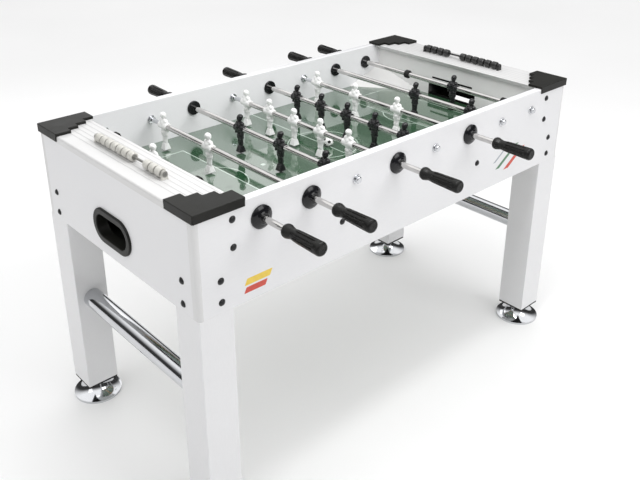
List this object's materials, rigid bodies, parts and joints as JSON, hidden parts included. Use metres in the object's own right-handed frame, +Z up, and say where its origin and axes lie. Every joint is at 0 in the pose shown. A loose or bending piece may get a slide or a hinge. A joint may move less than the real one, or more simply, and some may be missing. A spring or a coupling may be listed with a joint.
{
  "type": "foosball table",
  "caption": "Free-standing foosball table with telescopic rods, moulded men, fluted handles, ball returns in both ends and levelling feet.",
  "frame": {"origin": "on the floor under the middle of the table", "axes": "+X along the table's length, +Y from the front wall to the rear wall, +Z up"},
  "size_m": [1.457, 1.155, 0.9015],
  "materials": {
    "white_laminate": "white melamine foil with a satin sheen",
    "white_trim": "satin",
    "white_rail": "satin",
    "black_plastic": "fine textured",
    "field_print": "gloss printed",
    "raw_board": "raw board",
    "black_nylon": "satin",
    "bright_chrome": "polished",
    "white_leg": "white melamine foil",
    "black_rubber": "matte",
    "black_bolt": "satin",
    "score_rod_plastic": "satin",
    "rod_steel": "polished",
    "handle_rubber": "satin",
    "white_men": "gloss",
    "black_men": "gloss",
    "ball_white": "gloss",
    "score_white": "gloss",
    "score_black": "gloss"
  },
  "bodies": {
    "cabinet": {"front_side_panel": "white_laminate", "rear_side_panel": "white_laminate", "end_panels": "white_laminate", "corner_trims": "white_trim", "end_rails": "white_rail", "corner_caps": "black_plastic", "goal_walls": "white_laminate", "ball_returns": "black_plastic", "playfield": "field_print", "playfield_supports": "raw_board", "rod_bearings": "black_nylon", "end_bushings": "bright_chrome", "legs": "white_leg", "leg_gaskets": "black_rubber", "cross_tubes": "bright_chrome", "panel_bolts": "black_bolt", "score_rods": "score_rod_plastic"},
    "foot_front_right": {"foot_front_right": "bright_chrome"},
    "foot_rear_right": {"foot_rear_right": "bright_chrome"},
    "foot_front_left": {"foot_front_left": "bright_chrome"},
    "foot_rear_left": {"foot_rear_left": "bright_chrome"},
    "inner_rod_1": {"inner_rod_1": "bright_chrome"},
    "rod_1": {"rod_tube_1": "rod_steel", "handle_1": "handle_rubber", "men_1": "white_men", "goalie_stops_1": "black_rubber"},
    "inner_rod_2": {"inner_rod_2": "bright_chrome"},
    "rod_2": {"rod_tube_2": "rod_steel", "handle_2": "handle_rubber", "men_2": "white_men"},
    "inner_rod_3": {"inner_rod_3": "bright_chrome"},
    "rod_3": {"rod_tube_3": "rod_steel", "handle_3": "handle_rubber", "men_3": "black_men"},
    "inner_rod_4": {"inner_rod_4": "bright_chrome"},
    "rod_4": {"rod_tube_4": "rod_steel", "handle_4": "handle_rubber", "men_4": "white_men"},
    "inner_rod_5": {"inner_rod_5": "bright_chrome"},
    "rod_5": {"rod_tube_5": "rod_steel", "handle_5": "handle_rubber", "men_5": "black_men"},
    "inner_rod_6": {"inner_rod_6": "bright_chrome"},
    "rod_6": {"rod_tube_6": "rod_steel", "handle_6": "handle_rubber", "men_6": "white_men"},
    "inner_rod_7": {"inner_rod_7": "bright_chrome"},
    "rod_7": {"rod_tube_7": "rod_steel", "handle_7": "handle_rubber", "men_7": "black_men"},
    "inner_rod_8": {"inner_rod_8": "bright_chrome"},
    "rod_8": {"rod_tube_8": "rod_steel", "handle_8": "handle_rubber", "men_8": "black_men", "goalie_stops_8": "black_rubber"},
    "ball": {"ball": "ball_white"},
    "left_score_beads_front": {"left_score_beads_front": "score_white"},
    "left_score_beads_rear": {"left_score_beads_rear": "score_white"},
    "right_score_beads_front": {"right_score_beads_front": "score_black"},
    "right_score_beads_rear": {"right_score_beads_rear": "score_black"}
  },
  "joints": [
    {"name": "level_front_right", "type": "hinge", "parent": "cabinet", "child": "foot_front_right", "pos_m": [0.6575, -0.3175, 0], "axis": [0, 0, 1], "continuous": true},
    {"name": "level_rear_right", "type": "hinge", "parent": "cabinet", "child": "foot_rear_right", "pos_m": [0.6575, 0.3175, 0], "axis": [0, 0, 1], "continuous": true},
    {"name": "level_front_left", "type": "hinge", "parent": "cabinet", "child": "foot_front_left", "pos_m": [-0.6575, -0.3175, 0], "axis": [0, 0, 1], "continuous": true},
    {"name": "level_rear_left", "type": "hinge", "parent": "cabinet", "child": "foot_rear_left", "pos_m": [-0.6575, 0.3175, 0], "axis": [0, 0, 1], "continuous": true},
    {"name": "spin_1", "type": "hinge", "parent": "cabinet", "child": "inner_rod_1", "pos_m": [-0.525, 0, 0.82], "axis": [0, 1, 0], "continuous": true},
    {"name": "push_1", "type": "slide", "parent": "inner_rod_1", "child": "rod_1", "axis": [0, 1, 0], "range_m": [-0.207, 0.04]},
    {"name": "spin_2", "type": "hinge", "parent": "cabinet", "child": "inner_rod_2", "pos_m": [-0.375, 0, 0.82], "axis": [0, 1, 0], "continuous": true},
    {"name": "push_2", "type": "slide", "parent": "inner_rod_2", "child": "rod_2", "axis": [0, 1, 0], "range_m": [-0.361, 0.04]},
    {"name": "spin_3", "type": "hinge", "parent": "cabinet", "child": "inner_rod_3", "pos_m": [-0.225, 0, 0.82], "axis": [0, 1, 0], "continuous": true},
    {"name": "push_3", "type": "slide", "parent": "inner_rod_3", "child": "rod_3", "axis": [0, 1, 0], "range_m": [-0.059, 0.204]},
    {"name": "spin_4", "type": "hinge", "parent": "cabinet", "child": "inner_rod_4", "pos_m": [-0.075, 0, 0.82], "axis": [0, 1, 0], "continuous": true},
    {"name": "push_4", "type": "slide", "parent": "inner_rod_4", "child": "rod_4", "axis": [0, 1, 0], "range_m": [-0.127, 0.04]},
    {"name": "spin_5", "type": "hinge", "parent": "cabinet", "child": "inner_rod_5", "pos_m": [0.075, 0, 0.82], "axis": [0, 1, 0], "continuous": true},
    {"name": "push_5", "type": "slide", "parent": "inner_rod_5", "child": "rod_5", "axis": [0, 1, 0], "range_m": [-0.059, 0.108]},
    {"name": "spin_6", "type": "hinge", "parent": "cabinet", "child": "inner_rod_6", "pos_m": [0.225, 0, 0.82], "axis": [0, 1, 0], "continuous": true},
    {"name": "push_6", "type": "slide", "parent": "inner_rod_6", "child": "rod_6", "axis": [0, 1, 0], "range_m": [-0.223, 0.04]},
    {"name": "spin_7", "type": "hinge", "parent": "cabinet", "child": "inner_rod_7", "pos_m": [0.375, 0, 0.82], "axis": [0, 1, 0], "continuous": true},
    {"name": "push_7", "type": "slide", "parent": "inner_rod_7", "child": "rod_7", "axis": [0, 1, 0], "range_m": [-0.059, 0.342]},
    {"name": "spin_8", "type": "hinge", "parent": "cabinet", "child": "inner_rod_8", "pos_m": [0.525, 0, 0.82], "axis": [0, 1, 0], "continuous": true},
    {"name": "push_8", "type": "slide", "parent": "inner_rod_8", "child": "rod_8", "axis": [0, 1, 0], "range_m": [-0.059, 0.188]},
    {"name": "ball_roll", "type": "slide", "parent": "cabinet", "child": "ball", "axis": [0, 1, 0], "range_m": [-0.3, 0.344]},
    {"name": "score_left_front", "type": "slide", "parent": "cabinet", "child": "left_score_beads_front", "axis": [0, 1, 0], "range_m": [0, 0.0225]},
    {"name": "score_left_rear", "type": "slide", "parent": "cabinet", "child": "left_score_beads_rear", "axis": [0, 1, 0], "range_m": [-0.0225, 0]},
    {"name": "score_right_front", "type": "slide", "parent": "cabinet", "child": "right_score_beads_front", "axis": [0, 1, 0], "range_m": [0, 0.0225]},
    {"name": "score_right_rear", "type": "slide", "parent": "cabinet", "child": "right_score_beads_rear", "axis": [0, 1, 0], "range_m": [-0.0225, 0]}
  ]
}
